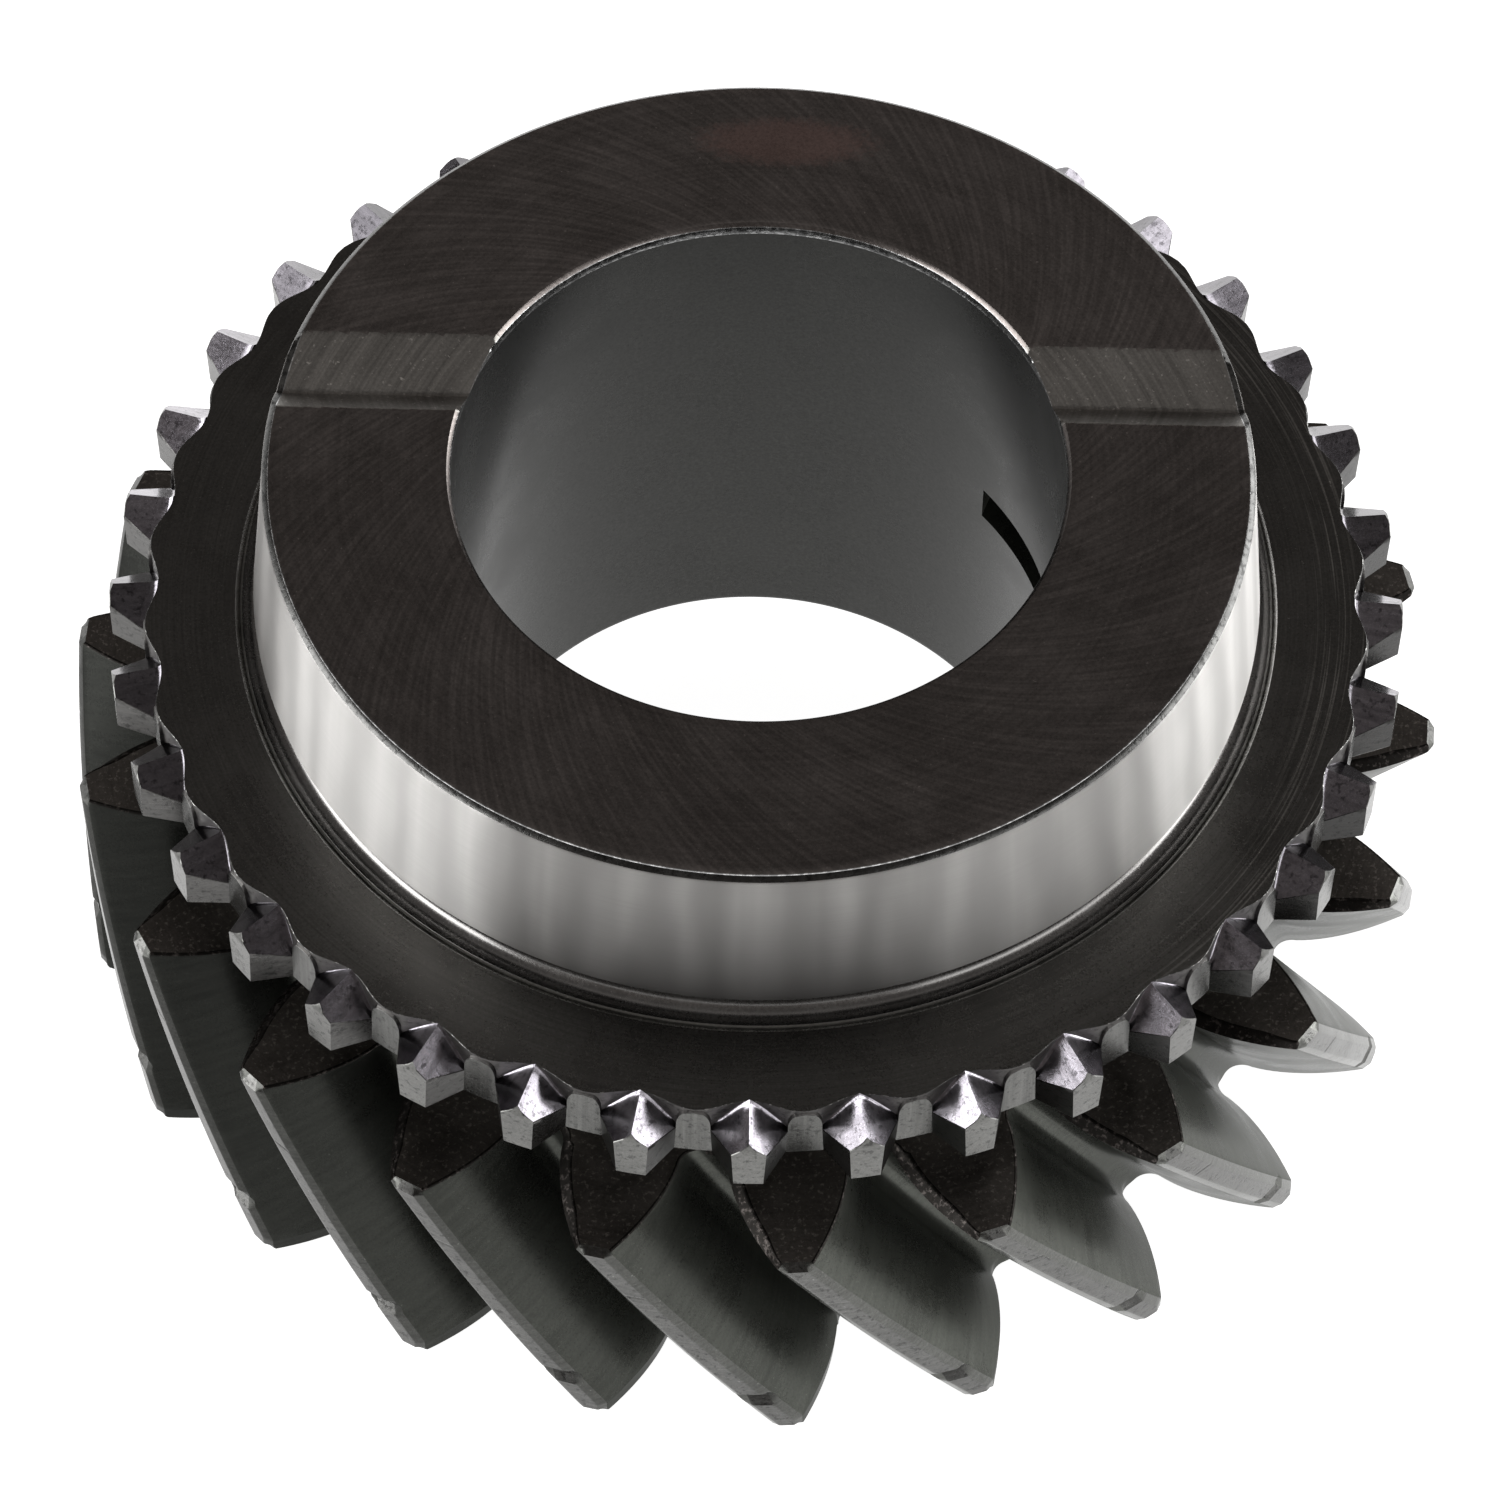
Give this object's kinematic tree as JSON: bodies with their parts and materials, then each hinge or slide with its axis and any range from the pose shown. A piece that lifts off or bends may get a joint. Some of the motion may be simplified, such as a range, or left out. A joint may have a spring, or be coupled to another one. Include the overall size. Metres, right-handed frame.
{
  "type": "helical gear",
  "caption": "Left-hand helical speed gear with a plain bore, a hub ending in a ground friction cone, and a pressed-on ring of pointed dog teeth for a synchroniser.",
  "frame": {"origin": "on the bore axis, in the plane of the lower end face of the helical teeth", "axes": "+Z along the bore axis, from the helical teeth towards the friction cone; the oil slot of the upper thrust face runs along X, on its +Y side"},
  "size_m": [0.0921, 0.092, 0.0452],
  "materials": {
    "gear_steel": "black phosphated case-hardened steel, with a ground bright cone and a honed bore",
    "ring_steel": "black phosphated case-hardened steel, fine turned on the shoulder"
  },
  "bodies": {
    "root": {"helical_gear": "gear_steel", "clutch_ring": "ring_steel"}
  },
  "joints": []
}
